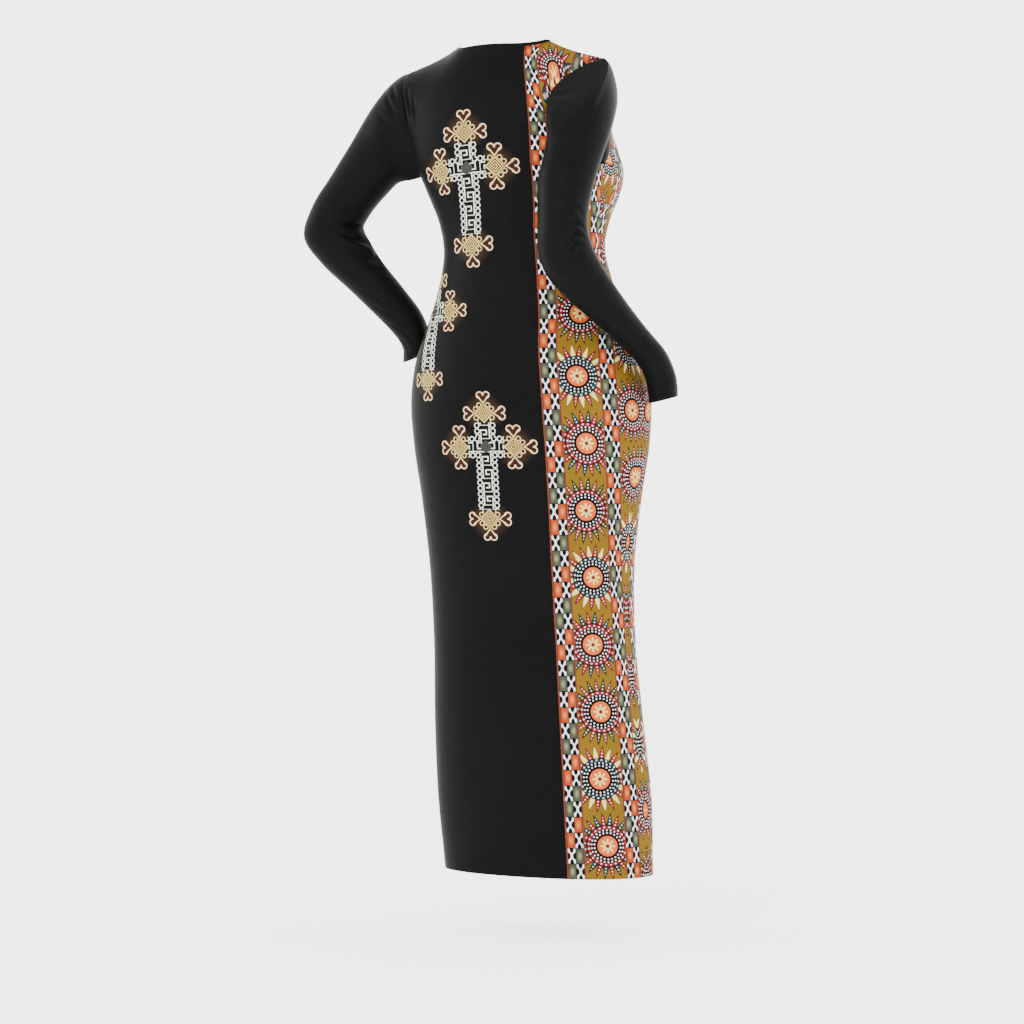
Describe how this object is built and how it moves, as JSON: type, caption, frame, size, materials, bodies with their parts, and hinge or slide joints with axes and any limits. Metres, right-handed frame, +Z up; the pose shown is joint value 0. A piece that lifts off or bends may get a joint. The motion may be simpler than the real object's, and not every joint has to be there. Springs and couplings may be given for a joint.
{
  "type": "bodycon dress",
  "caption": "Close-fitting ankle-length stretch dress with long set-in sleeves and a round neck, hollow, one half printed, worn form with bent arms",
  "frame": {"origin": "midway between the two neck points at the tops of the shoulder seams, where the wearer's shoulders hold the dress up", "axes": "+Z up along the dress, hem to shoulders; -Y toward the front of the dress; +X toward the wearer's left"},
  "size_m": [0.6668, 0.324, 1.324],
  "materials": {
    "printed_jersey": "smooth knit with a soft sheen, multicolour print on one half",
    "black_jersey": "smooth black knit with a soft sheen"
  },
  "bodies": {
    "root": {"front_panel": "printed_jersey", "back_panel": "printed_jersey", "left_sleeve": "black_jersey", "right_sleeve": "black_jersey", "neck_binding": "black_jersey"}
  },
  "joints": []
}
